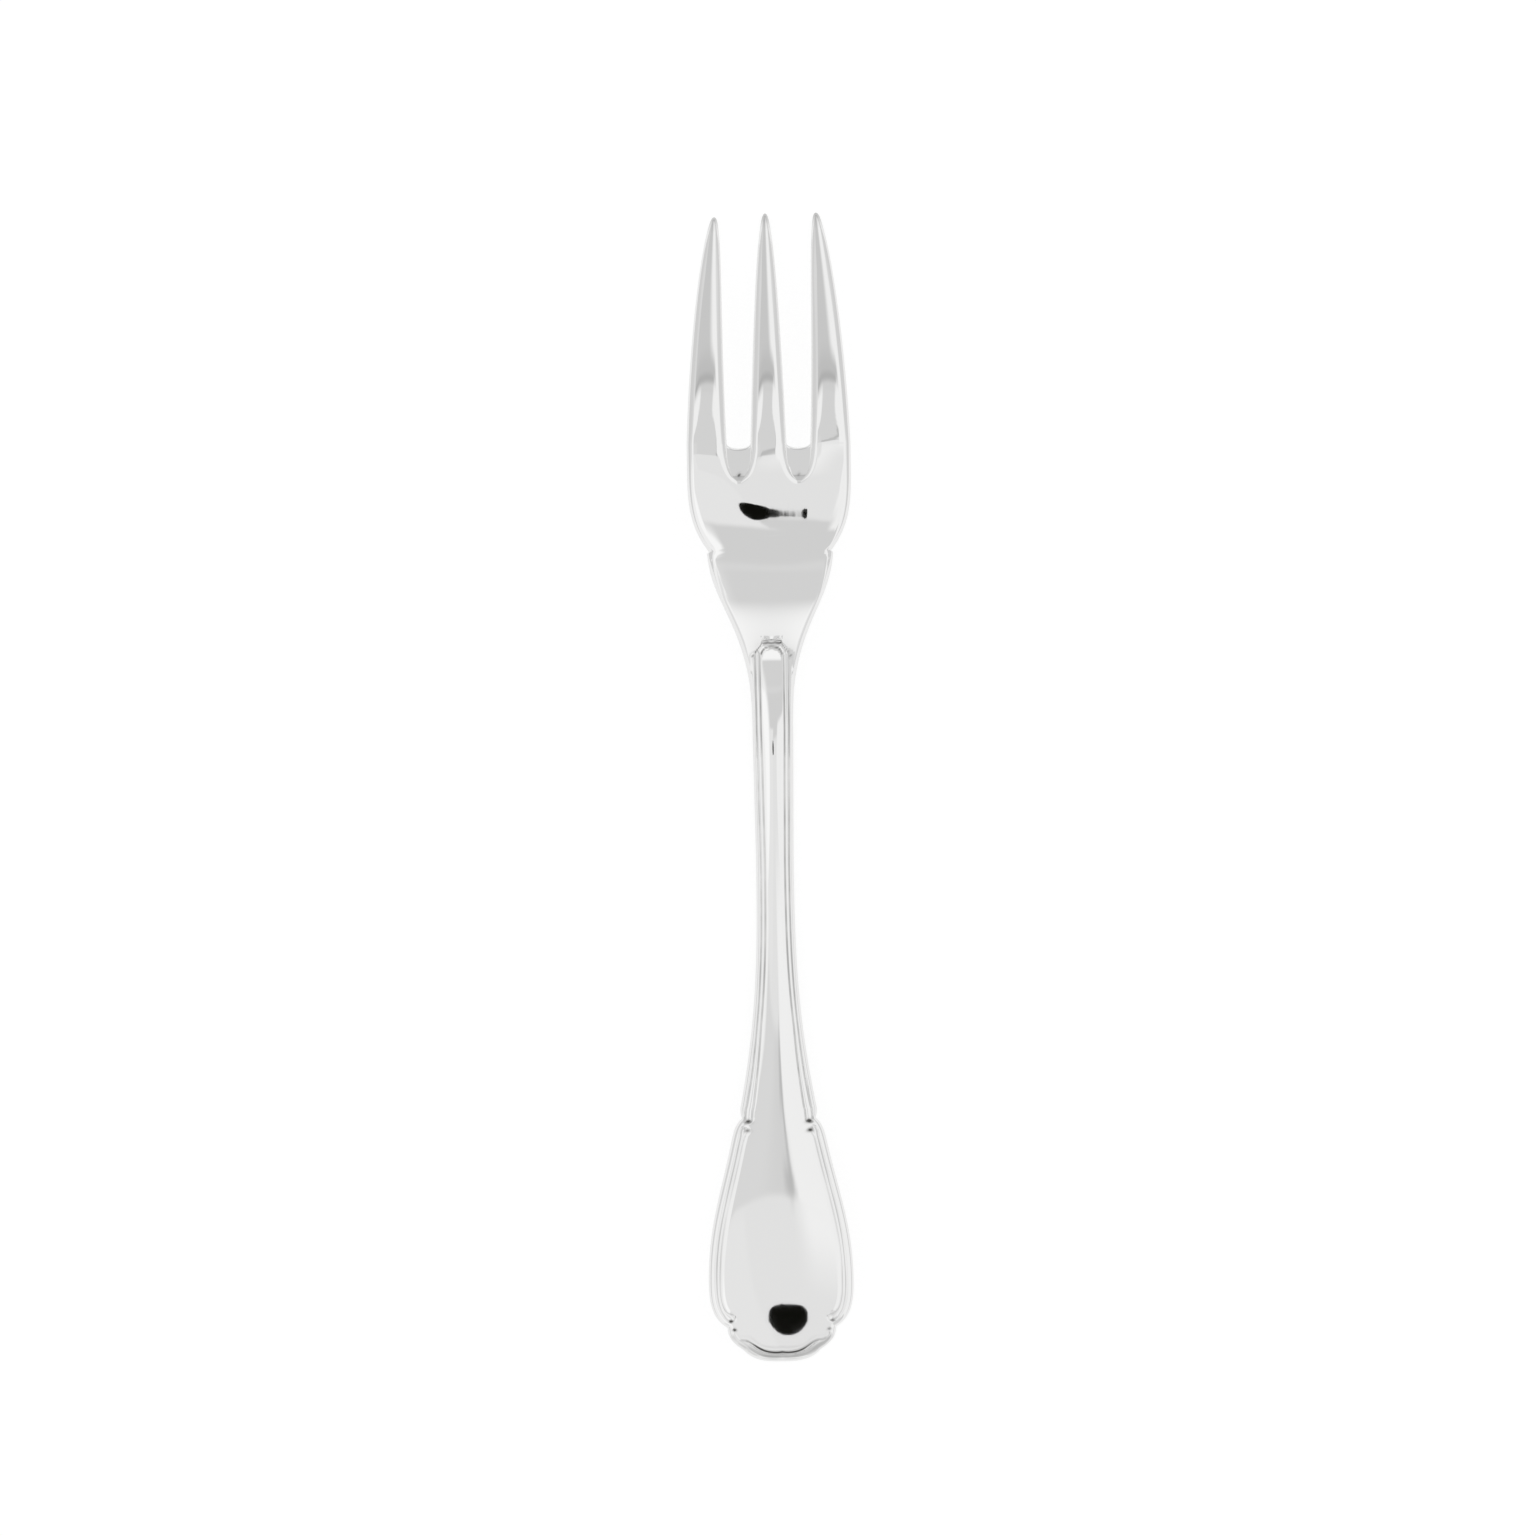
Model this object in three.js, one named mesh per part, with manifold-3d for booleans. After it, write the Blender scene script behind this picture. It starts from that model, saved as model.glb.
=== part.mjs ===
// Fish fork of silver-plated steel, lying face down on the table.
// Millimetres. +Z is up, out of the back of the fork. +Y runs to the tips. The origin is on the table.
import Module from "manifold-3d";
import * as THREE from "three";
import { mergeVertices } from "three/addons/utils/BufferGeometryUtils.js";

// Lengths along the fork, one section after the other
const TERMINAL_LENGTH = 39.8; // end of the handle to the notches under its shoulders
const STEM_LENGTH = 78.6; // shoulder notches to the drop, where the raised handle stops on the neck
const NECK_LENGTH = 14.1; // drop to the notches under the head
const ROOT_LENGTH = 16.8; // head notches to the floor of the slots
const TINE_LENGTH = 40.7; // floor of the slots to the tips

// Terminal, the wide end of the handle
const TERMINAL_WIDTH = 23.7; // at its widest
const TERMINAL_WIDEST = 13.15; // end to the widest place
const END_LOBE_WIDTH = 12.7; // the middle lobe of the end
const END_LOBE_DEPTH = 1.95; // end to where the side lobes start
const SIDE_LOBE_WIDTH = 17.8; // over both side lobes
const SIDE_LOBE_DEPTH = 5.6; // end to the cusps above the side lobes
const SHOULDER_WIDTH = 15.6;
const SHOULDER_DROP = 3.6; // shoulder notch to where the shoulder starts to turn in
const NOTCH_WIDTH = 12.1; // between the shoulder notches

// Stem, neck and head
const FLARE_WIDTH = 12.6; // stem just above the shoulder notches
const FLARE_RISE = 1.6; // shoulder notch to that place
const WAIST_WIDTH = 6.24; // narrowest place of the stem
const WAIST_RISE = 42.6; // shoulder notch to the waist
const STEM_TOP_WIDTH = 6.76; // raised handle under the drop
const FLANGE_LENGTH = 15; // neck plate showing on both sides of the raised handle
const DROP_PLATE_WIDTH = 11; // neck plate at the drop
const DROP_STEP = 0.9; // slope at the top of the raised handle
const NECK_WIDTH = 20.7; // neck under the head notches
const NOTCH_DEPTH = 0.3; // of the head notches, in from the neck
const HEAD_WIDTH = 26.9;
const HEAD_RISE_TO_WIDEST = 13.8; // head notch to the widest place of the head

// Tines
const OUTER_TINE_WIDTH = 6.6; // at the slots
const CENTRE_TINE_WIDTH = 5.9; // at the slots
const TIP_SPACING = 8.45; // centre tip to an outer tip
const TINE_TAPER = 0.45; // power of the taper to the tips, where 0.5 is a parabola
const SLOT_ROUND = 0.8; // depth of the round floor of the slots
const TINE_BEVEL = 1; // width of the bevel along each edge
const SLOT_BEVEL = 5; // length of the bevel below each slot, on the back

// Thicknesses, at the middle and at the edges
const TERMINAL_THICKNESS = 1.7;
const SHOULDER_THICKNESS = 2.3;
const WAIST_THICKNESS = 3.2;
const DROP_THICKNESS = 4.1;
const HEAD_THICKNESS = 3.7;
const ROOT_THICKNESS = 3.2;
const TINE_THICKNESS = 2.8;
const TIP_THICKNESS = 1.3;
const TERMINAL_EDGE = 1.6;
const STEM_EDGE = 2.3;
const HEAD_EDGE = 2.6;

// Threads that border the handle
const TERMINAL_BAND = 1.1; // edge to the groove outside the thread
const STEM_BAND = 0.62;
const TERMINAL_THREAD = 0.9; // width of the thread
const STEM_THREAD = 0.66;
const GROOVE_DEPTH = 0.22;
const RAISED_HEIGHT = 0.3; // raised handle above the plate, on each face

// Side profile: heights of the middle plane above the table
const END_HEIGHT = 8.1;
const TERMINAL_HEIGHT = 7.98; // at the widest place
const SHOULDER_HEIGHT = 5.43;
const STEM_HEIGHT = 3.34; // halfway from the shoulder notches to the waist
const WAIST_HEIGHT = 2.05;
const ARCH_HEIGHT = 2.02; // where the stem starts to bend up to the neck
const ARCH_TO_DROP = 17.4;
const BEND_HEIGHT = 3.21; // halfway along that bend
const DROP_HEIGHT = 6.84;
const NECK_HEIGHT = 10.41; // halfway along the neck
const HEAD_HEIGHT = 12.99;
const CREST_HEIGHT = 14.11;
const CREST_RISE = 6.9; // head notch to the crest of the back
const SLOT_HEIGHT = 14.18;
const MID_TINE_HEIGHT = 9.06;
const TIP_HEIGHT = 0.3;
const ROOT_DISH = 0.2; // fall of the root from its middle to its edges

// Silver skin, worn through to the steel where the fork rests on the table
const PLATING_THICKNESS = 0.033;

const length = TERMINAL_LENGTH + STEM_LENGTH + NECK_LENGTH + ROOT_LENGTH + TINE_LENGTH;
const endY = -length / 2;
const widestY = endY + TERMINAL_WIDEST;
const shoulderY = endY + TERMINAL_LENGTH;
const waistY = shoulderY + WAIST_RISE;
const dropY = shoulderY + STEM_LENGTH;
const archY = dropY - ARCH_TO_DROP;
const headY = dropY + NECK_LENGTH;
const crestY = headY + CREST_RISE;
const slotFloorY = headY + ROOT_LENGTH;
const tipY = slotFloorY + TINE_LENGTH;
const outerTineX = HEAD_WIDTH / 2 - OUTER_TINE_WIDTH / 2;
const slotOuterX = HEAD_WIDTH / 2 - OUTER_TINE_WIDTH;
const slotInnerX = CENTRE_TINE_WIDTH / 2;
const slotHalf = (slotOuterX - slotInnerX) / 2;
const slotX = (slotOuterX + slotInnerX) / 2;
const crotchY = slotFloorY + SLOT_ROUND;

// A smooth function of y through [y, value] stations.
function along(...stations) {
  const ys = stations.map(([y]) => y);
  const values = stations.map(([, value]) => value);
  const curve = new THREE.CubicInterpolant(ys, values, 1);
  return (y) => curve.evaluate(y)[0];
}

const profile = along(
  [endY, END_HEIGHT],
  [widestY, TERMINAL_HEIGHT],
  [shoulderY, SHOULDER_HEIGHT],
  [(shoulderY + waistY) / 2, STEM_HEIGHT],
  [waistY, WAIST_HEIGHT],
  [archY, ARCH_HEIGHT],
  [(archY + dropY) / 2, BEND_HEIGHT],
  [dropY, DROP_HEIGHT],
  [(dropY + headY) / 2, NECK_HEIGHT],
  [headY, HEAD_HEIGHT],
  [crestY, CREST_HEIGHT],
  [slotFloorY, SLOT_HEIGHT],
  [(slotFloorY + tipY) / 2, MID_TINE_HEIGHT],
  [tipY, TIP_HEIGHT],
);
const plateHalf = along(
  [endY, TERMINAL_THICKNESS / 2],
  [widestY, TERMINAL_THICKNESS / 2],
  [shoulderY, SHOULDER_THICKNESS / 2],
  [waistY, WAIST_THICKNESS / 2],
  [dropY, DROP_THICKNESS / 2],
  [headY, HEAD_THICKNESS / 2],
  [slotFloorY, ROOT_THICKNESS / 2],
);
const edgeHalf = along(
  [widestY, TERMINAL_EDGE / 2],
  [waistY, STEM_EDGE / 2],
  [headY, HEAD_EDGE / 2],
  [slotFloorY, HEAD_EDGE / 2],
);
const dish = along([dropY, 0], [headY, 0], [crestY, ROOT_DISH], [slotFloorY, ROOT_DISH], [tipY, 0]);

function middleHeight(x, y) {
  return profile(y) - dish(y) * (2 * x / HEAD_WIDTH) ** 2;
}

// How much of the raised handle stands on the plate at y: all of it on the handle, none on the neck.
function raised(y) {
  return THREE.MathUtils.clamp((dropY - y) / DROP_STEP, 0, 1);
}

// A direction in plan, given as an angle in degrees from +Y towards +X.
function heading(lean) {
  const angle = THREE.MathUtils.degToRad(lean);
  return new THREE.Vector2(Math.sin(angle), Math.cos(angle));
}

// A curve between two places of the outline, with the heading at each.
function sweep(x0, y0, lean0, x1, y1, lean1) {
  const start = new THREE.Vector2(x0, y0);
  const stop = new THREE.Vector2(x1, y1);
  const pull = 0.38 * start.distanceTo(stop);
  const out = heading(lean0).multiplyScalar(pull).add(start);
  const back = heading(lean1).multiplyScalar(-pull).add(stop);
  return new THREE.CubicBezierCurve(start, out, back, stop);
}

function straight(x0, y0, x1, y1) {
  return new THREE.LineCurve(new THREE.Vector2(x0, y0), new THREE.Vector2(x1, y1));
}

// Right half of the outline from the end of the handle to the slots, each stretch with its number of ribs.
const sideLobeY = endY + END_LOBE_DEPTH;
const cuspY = endY + SIDE_LOBE_DEPTH;
const shoulderTopY = shoulderY - SHOULDER_DROP;
const flareY = shoulderY + FLARE_RISE;
const flangeY = dropY - FLANGE_LENGTH;
const stepY = dropY - DROP_STEP;
const headWidestY = headY + HEAD_RISE_TO_WIDEST;
const stepX = DROP_PLATE_WIDTH / 2 - DROP_STEP * Math.tan(THREE.MathUtils.degToRad(20));
const handleSide = [
  [sweep(0, endY, 90, END_LOBE_WIDTH / 2, sideLobeY, 42), 6],
  [sweep(END_LOBE_WIDTH / 2, sideLobeY, 58, SIDE_LOBE_WIDTH / 2, cuspY, 0), 4],
  [sweep(SIDE_LOBE_WIDTH / 2, cuspY, 60, TERMINAL_WIDTH / 2, widestY, 0), 6],
  [sweep(TERMINAL_WIDTH / 2, widestY, 0, SHOULDER_WIDTH / 2, shoulderTopY, -12), 8],
  [sweep(SHOULDER_WIDTH / 2, shoulderTopY, -14, NOTCH_WIDTH / 2, shoulderY, -50), 4],
  [sweep(NOTCH_WIDTH / 2, shoulderY, 25, FLARE_WIDTH / 2, flareY, 0), 2],
  [sweep(FLARE_WIDTH / 2, flareY, -11, WAIST_WIDTH / 2, waistY, 0), 8],
  [straight(WAIST_WIDTH / 2, waistY, STEM_TOP_WIDTH / 2, flangeY), 4],
  [sweep(STEM_TOP_WIDTH / 2, flangeY, 0, stepX, stepY, 20), 5],
  [straight(stepX, stepY, DROP_PLATE_WIDTH / 2, dropY), 1],
];
const neckSide = [
  [sweep(DROP_PLATE_WIDTH / 2, dropY, 20, NECK_WIDTH / 2, headY - NOTCH_DEPTH, 4), 6],
  [straight(NECK_WIDTH / 2, headY - NOTCH_DEPTH, NECK_WIDTH / 2 - NOTCH_DEPTH, headY), 1],
];
const rootSide = [
  [sweep(NECK_WIDTH / 2 - NOTCH_DEPTH, headY, 38, HEAD_WIDTH / 2, headWidestY, 0), 6],
  [straight(HEAD_WIDTH / 2, headWidestY, HEAD_WIDTH / 2, crotchY), 2],
];

// Points along the stretches, without the first one.
function trace(stretches) {
  return stretches.flatMap(([curve, ribs]) => curve.getPoints(ribs).slice(1));
}

// A point of the fork in plan, with the heights of its back and front above and below the middle plane.
// Each rib has eleven from an edge to the spine: 0 to 4 lead to an outer tine, 4 to 8 to a slot, 8 to 10 to the
// centre tine.
function place(x, y, back, front = back) {
  return { x, y, back, front };
}

// One half of a rib over the handle or neck. `shares` are the columns' places from edge to spine, 0 to 1.
function plateRib(edge, spineY, shares) {
  return shares.map((share, column) => {
    const x = edge.x * (1 - share);
    const y = THREE.MathUtils.lerp(edge.y, spineY, share);
    const edgeTop = edgeHalf(y);
    if (column === 0) return place(x, y, 0);
    if (column === 1) return place(x, y, 0.75 * edgeTop);
    const lift = raised(y);
    const crown = plateHalf(y) + RAISED_HEIGHT * lift;
    const across = (1 - share) / (1 - shares[2]);
    const groove = column === 3 || column === 5 ? GROOVE_DEPTH * lift : 0;
    return place(x, y, edgeTop + (crown - edgeTop) * (1 - across ** 2) - groove);
  });
}

// Columns over the handle: the edge band, the thread between its two grooves, then the field up to the spine.
function handleShares(edge, spineY) {
  const reach = Math.hypot(edge.x, edge.y - spineY);
  const onTerminal = THREE.MathUtils.smoothstep(flareY - edge.y, 0, flareY - widestY);
  const plainBand = THREE.MathUtils.lerp(STEM_BAND, TERMINAL_BAND, onTerminal);
  const flange = edge.y > flangeY ? edge.x - STEM_TOP_WIDTH / 2 : 0;
  const band = plainBand + Math.max(flange, 0);
  const thread = THREE.MathUtils.lerp(STEM_THREAD, TERMINAL_THREAD, onTerminal);
  const border = [0, 0.3 * band, 0.7 * band, band, band + thread / 2, band + thread];
  const field = [1, 2, 3, 4, 5].map((step) => THREE.MathUtils.lerp(band + thread, reach, step / 5));
  return [...border, ...field].map((distance) => distance / reach);
}

// The ribs of the end fan out from a short length of the spine.
function handleSpineY(y) {
  const fanY = endY + TERMINAL_WIDEST * 0.6;
  return y < widestY ? THREE.MathUtils.mapLinear(y, endY, widestY, fanY, widestY) : y;
}

// Heights across a tine at a share of the way from slot to tip: edge, bevel, middle, bevel, edge.
function tineRow(share, midX, rootHalf, rootY) {
  const half = rootHalf * (1 - share) ** TINE_TAPER;
  const y = THREE.MathUtils.lerp(rootY, tipY, share);
  const bevel = Math.min(TINE_BEVEL, half / 2);
  const thick = share < 1 ? THREE.MathUtils.lerp(TINE_THICKNESS, TIP_THICKNESS, share) / 2 : 0;
  return [
    place(midX + half, y, 0),
    place(midX + half - bevel, y, 0.85 * thick),
    place(midX, y, thick),
    place(midX - half + bevel, y, 0.85 * thick),
    place(midX - half, y, 0),
  ];
}

const outerTineLine = new THREE.QuadraticBezierCurve(
  new THREE.Vector2(outerTineX, crotchY),
  new THREE.Vector2(outerTineX, (crotchY + tipY) / 2),
  new THREE.Vector2(TIP_SPACING, tipY),
);
const tineShares = [0, 0.14, 0.28, 0.42, 0.56, 0.7, 0.81, 0.9, 0.96, 0.99, 1];
const outerTine = tineShares.map((share) =>
  tineRow(share, outerTineLine.getPoint(share).x, OUTER_TINE_WIDTH / 2, crotchY));
const centreTine = tineShares.map((share) => tineRow(share, 0, CENTRE_TINE_WIDTH / 2, crotchY));

// The rib where the root parts into tines, with a round floor under each slot.
const slotFloor = [1, 2, 3].map((step) => {
  const turn = Math.PI * step / 4;
  return place(slotX + slotHalf * Math.cos(turn), crotchY - SLOT_ROUND * Math.sin(turn), 0);
});
const crotchRib = [...outerTine[0], ...slotFloor, ...centreTine[0].slice(0, 3)];

const headShares = crotchRib.map(({ x }) => 1 - x / (HEAD_WIDTH / 2));

const handleEdge = [new THREE.Vector2(0, endY), ...trace(handleSide)];
const handleRibs = handleEdge.map((edge) => {
  const spineY = handleSpineY(edge.y);
  return plateRib(edge, spineY, handleShares(edge, spineY));
});
const dropShares = handleShares(handleEdge.at(-1), dropY);
const neckRibs = trace(neckSide).map((edge) => {
  const up = (edge.y - dropY) / NECK_LENGTH;
  const shares = dropShares.map((share, column) => THREE.MathUtils.lerp(share, headShares[column], up));
  return plateRib(edge, edge.y, shares);
});
const rootRibs = trace(rootSide).slice(0, -1).map((edge) => {
  const up = (edge.y - headY) / (crotchY - headY);
  return plateRib(edge, edge.y, headShares).map((point, column) => {
    const goal = crotchRib[column];
    const y = THREE.MathUtils.lerp(headY, goal.y, up);
    const bevelled = THREE.MathUtils.clamp((y - slotFloorY + SLOT_BEVEL) / SLOT_BEVEL, 0, 1);
    const inSlot = column > 4 && column < 8;
    const back = inSlot ? THREE.MathUtils.lerp(point.back, goal.back, bevelled) : point.back;
    return place(point.x, y, back, point.front);
  });
});
const halfRibs = [...handleRibs, ...neckRibs, ...rootRibs, crotchRib];

// Whole ribs from the left edge to the right edge.
function mirrored(half) {
  const left = half.map((point) => ({ ...point, x: -point.x }));
  return [...left, ...half.slice(0, -1).reverse()];
}

const body = halfRibs.map(mirrored);
const rightTine = outerTine.map((row) => [...row].reverse());
const leftTine = outerTine.map((row) => row.map((point) => ({ ...point, x: -point.x })));
const middleTine = centreTine.map((row) => [...row].reverse());

function onBack({ x, y, back }) {
  return new THREE.Vector3(x, y, middleHeight(x, y) + back);
}

function onFront({ x, y, front }) {
  return new THREE.Vector3(x, y, middleHeight(x, y) - front);
}

// The four-cornered faces between neighbouring ribs, turned outwards.
function faces(ribs, side) {
  const quads = [];
  for (let rib = 0; rib + 1 < ribs.length; rib += 1) {
    for (let column = 0; column + 1 < ribs[rib].length; column += 1) {
      const near = [ribs[rib][column], ribs[rib][column + 1]];
      const far = [ribs[rib + 1][column + 1], ribs[rib + 1][column]];
      const corners = [...near, ...far].map(side);
      quads.push(side === onBack ? corners : corners.reverse());
    }
  }
  return quads;
}

const sheets = [body, leftTine, middleTine, rightTine];
const quads = sheets.flatMap((ribs) => [...faces(ribs, onBack), ...faces(ribs, onFront)]);

// One closed skin from the faces. Triangles that shrink to a line at the tips are left out.
function skin(list) {
  const corners = [];
  for (const [a, b, c, d] of list) {
    for (const triangle of [[a, b, c], [a, c, d]]) {
      if (new THREE.Triangle(...triangle).getArea() > 1e-6) corners.push(...triangle);
    }
  }
  return welded(new THREE.BufferGeometry().setFromPoints(corners));
}

// A geometry whose triangles share their corners.
function welded(geometry) {
  const bare = new THREE.BufferGeometry();
  bare.setAttribute("position", geometry.getAttribute("position"));
  bare.setIndex(geometry.index);
  return mergeVertices(bare, 1e-4);
}

// The same skin moved in by a distance.
function shrunk(geometry, distance) {
  const inner = geometry.clone();
  inner.computeVertexNormals();
  const at = inner.getAttribute("position");
  const normal = inner.getAttribute("normal");
  for (let i = 0; i < at.count; i += 1) {
    const inward = new THREE.Vector3().fromBufferAttribute(normal, i).multiplyScalar(-distance);
    at.setXYZ(i, at.getX(i) + inward.x, at.getY(i) + inward.y, at.getZ(i) + inward.z);
  }
  return inner;
}

const kernel = await Module();
kernel.setup();

function solid(geometry) {
  return new kernel.Manifold(new kernel.Mesh({
    numProp: 3,
    vertProperties: geometry.getAttribute("position").array,
    triVerts: new Uint32Array(geometry.index.array),
  }));
}

function geometryOf(manifold) {
  const { vertProperties, triVerts } = manifold.getMesh();
  const geometry = new THREE.BufferGeometry();
  geometry.setAttribute("position", new THREE.BufferAttribute(vertProperties, 3));
  geometry.setIndex(new THREE.BufferAttribute(triVerts, 1));
  geometry.computeVertexNormals();
  return geometry;
}

// Below the table top all metal is worn away.
const tableThickness = 10;
const tableTop = new THREE.BoxGeometry(2 * HEAD_WIDTH, 2 * length, tableThickness);
tableTop.translate(0, 0, -tableThickness / 2);
const table = solid(welded(tableTop));

const outside = skin(quads);
const inside = shrunk(outside, PLATING_THICKNESS);
const blank = solid(inside);
const coat = solid(outside).subtract(blank);

const steel = new THREE.MeshStandardMaterial({ color: 0xa9adb1, metalness: 1, roughness: 0.35 });
const silver = new THREE.MeshStandardMaterial({ color: 0xe9e7e2, metalness: 1, roughness: 0.06 });
steel.name = "steel";
silver.name = "silver";

const core = new THREE.Mesh(geometryOf(blank.subtract(table)), steel);
core.name = "steel_core";
const plating = new THREE.Mesh(geometryOf(coat.subtract(table)), silver);
plating.name = "silver_plating";

const group = new THREE.Group();
group.name = "fish_fork";
group.add(core, plating);

export default group;
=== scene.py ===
import math
import bpy
import numpy as np
from mathutils import Matrix, Vector


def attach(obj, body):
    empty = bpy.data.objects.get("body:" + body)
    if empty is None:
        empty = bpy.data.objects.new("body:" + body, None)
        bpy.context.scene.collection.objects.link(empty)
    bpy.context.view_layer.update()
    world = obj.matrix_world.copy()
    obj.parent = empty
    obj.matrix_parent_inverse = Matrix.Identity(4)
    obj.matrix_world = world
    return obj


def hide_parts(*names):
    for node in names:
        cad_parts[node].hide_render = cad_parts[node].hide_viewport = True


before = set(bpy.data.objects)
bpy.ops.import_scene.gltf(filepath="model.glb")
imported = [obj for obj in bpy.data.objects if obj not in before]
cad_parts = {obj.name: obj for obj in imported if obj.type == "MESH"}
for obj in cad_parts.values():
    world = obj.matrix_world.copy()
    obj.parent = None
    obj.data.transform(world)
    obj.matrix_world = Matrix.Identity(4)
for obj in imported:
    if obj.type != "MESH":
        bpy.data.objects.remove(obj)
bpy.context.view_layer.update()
scene = bpy.context.scene
scene.view_settings.view_transform = "Standard"
mm = 0.001

# Plan of the fork, in millimetres from the middle of its length. +Y runs to the tips.
plan = {
    "endY": -95.0, "widestY": -81.85, "shoulderY": -55.2, "waistY": -12.6, "flangeY": 8.4, "dropY": 23.4,
    "headY": 37.5, "slotFloorY": 54.3, "tipY": 95.0,
    "endLobeHalf": 6.35, "endLobeDepth": 1.95, "sideLobeHalf": 8.9, "sideLobeDepth": 5.6,
    "terminalHalf": 11.85, "shoulderHalf": 7.8, "shoulderDrop": 3.6, "notchHalf": 6.05,
    "flareHalf": 6.3, "flareRise": 1.6, "waistHalf": 3.12, "stemTopHalf": 3.38,
    "dropPlateHalf": 5.5, "neckHalf": 10.35, "notchDepth": 0.3, "headHalf": 13.45, "headWidestRise": 13.8,
    "outerTineHalf": 3.3, "centreTineHalf": 2.95, "tipSpacing": 8.45, "slotRound": 0.8, "tineTaper": 0.45,
    "leftShorter": 0.55,
}
# Leans of the edge at both ends of each stretch, in degrees from +Y to +X
leans = {
    "endLobe": (90, 42), "sideLobe": (58, 0), "terminal": (60, 0), "side": (0, -12), "shoulder": (-14, -50),
    "flare": (25, 0), "stem": (-11, 0), "dropPlate": (0, 20), "neck": (20, 4), "root": (38, 0),
}
edgePull = 0.38  # how far each stretch keeps its lean, as a share of its length


def smoothCurve(stations):  # cubic spline through (y, value) pairs, level beyond its ends
    ys = np.array([s[0] for s in stations], float)
    values = np.array([s[1] for s in stations], float)
    count = len(ys)
    step = np.diff(ys)
    secant = np.diff(values) / step
    rows = np.zeros((count, count))
    right = np.zeros(count)
    rows[0, :2] = 1, 1
    rows[-1, -2:] = 1, 1
    right[0], right[-1] = 2 * secant[0], 2 * secant[-1]
    for i in range(1, count - 1):
        rows[i, i - 1:i + 2] = step[i], 2 * (step[i] + step[i - 1]), step[i - 1]
        right[i] = 3 * (step[i] * secant[i - 1] + step[i - 1] * secant[i])
    slope = np.linalg.solve(rows, right)

    def value(y):
        y = np.clip(y, ys[0], ys[-1])
        i = np.clip(np.searchsorted(ys, y, side="right") - 1, 0, count - 2)
        p = (y - ys[i]) / step[i]
        return ((2 * p**3 - 3 * p**2 + 1) * values[i] + (p**3 - 2 * p**2 + p) * step[i] * slope[i]
                + (3 * p**2 - 2 * p**3) * values[i + 1] + (p**3 - p**2) * step[i] * slope[i + 1])

    return value


def lineThrough(stations):  # straight lines through (y, value) pairs
    ys = [s[0] for s in stations]
    values = [s[1] for s in stations]
    return lambda y: np.interp(y, ys, values)


def smoothLine(stations, steps=40):  # fine steps along a curve given by a few places
    xs = np.linspace(stations[0][0], stations[-1][0], steps)
    return np.stack([xs, smoothCurve(stations)(xs)], 1)


def softStep(low, high, value):
    t = np.clip((value - low) / (high - low), 0, 1)
    return t * t * (3 - 2 * t)


def softSpan(rise, full, last, fall, value):  # 0, up to 1 between full and last, and 0 again
    return softStep(rise, full, value) * (1 - softStep(last, fall, value))


def softMin(a, b, k):
    h = np.clip(0.5 + 0.5 * (b - a) / k, 0, 1)
    return b + (a - b) * h - k * h * (1 - h)


def roundOver(gap, width):  # quarter of an ellipse, from 0 at the edge to 1
    t = np.clip(gap / width, 0, 1)
    return np.sqrt(1 - (1 - t)**2)


def evenly(count):
    return np.linspace(0, 1, count + 1)[1:]


def sweep(start, stop, stretch, shares):  # a stretch of the edge between two places
    start, stop = np.array(start), np.array(stop)
    pull = edgePull * np.linalg.norm(stop - start)
    first, last = [math.radians(lean) for lean in leans[stretch]]
    out = start + pull * np.array([math.sin(first), math.cos(first)])
    back = stop - pull * np.array([math.sin(last), math.cos(last)])
    t = np.array(shares)[:, None]
    return (1 - t)**3 * start + 3 * (1 - t)**2 * t * out + 3 * (1 - t) * t**2 * back + t**3 * stop


def distanceTo(px, py, line, widths=None):  # distance of points to a line of places, with the width there
    best = np.full(px.shape, 1e9)
    wide = np.zeros(px.shape)
    for i in range(len(line) - 1):
        (ax, ay), (bx, by) = line[i], line[i + 1]
        dx, dy = bx - ax, by - ay
        t = np.clip(((px - ax) * dx + (py - ay) * dy) / max(dx * dx + dy * dy, 1e-12), 0, 1)
        gap = np.hypot(px - ax - t * dx, py - ay - t * dy)
        here = 0 if widths is None else widths[i] + t * (widths[i + 1] - widths[i])
        nearer = gap - here < best - wide
        wide = np.where(nearer, here, wide)
        best = np.where(nearer, gap, best)
    return best, wide


# Right half of the outline, from the end of the handle up to the slots
slotX = (plan["centreTineHalf"] + plan["headHalf"] - 2 * plan["outerTineHalf"]) / 2
slotHalf = (plan["headHalf"] - 2 * plan["outerTineHalf"] - plan["centreTineHalf"]) / 2
crotchY = plan["slotFloorY"] + plan["slotRound"]
cuspY = plan["endY"] + plan["sideLobeDepth"]
flareY = plan["shoulderY"] + plan["flareRise"]
endPlace = (0.0, plan["endY"])
lobePlace = (plan["endLobeHalf"], plan["endY"] + plan["endLobeDepth"])
cuspPlace = (plan["sideLobeHalf"], cuspY)
widestPlace = (plan["terminalHalf"], plan["widestY"])
shoulderPlace = (plan["shoulderHalf"], plan["shoulderY"] - plan["shoulderDrop"])
notchPlace = (plan["notchHalf"], plan["shoulderY"])
flarePlace = (plan["flareHalf"], flareY)
waistPlace = (plan["waistHalf"], plan["waistY"])
stemTopPlace = (plan["stemTopHalf"], plan["flangeY"])
dropPlace = (plan["dropPlateHalf"], plan["dropY"])
neckPlace = (plan["neckHalf"], plan["headY"] - plan["notchDepth"])
notchFloor = (plan["neckHalf"] - 0.5 * plan["notchDepth"], plan["headY"] - 0.5 * plan["notchDepth"])
headPlace = (plan["neckHalf"] - plan["notchDepth"], plan["headY"])
headWidest = (plan["headHalf"], plan["headY"] + plan["headWidestRise"])
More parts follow.
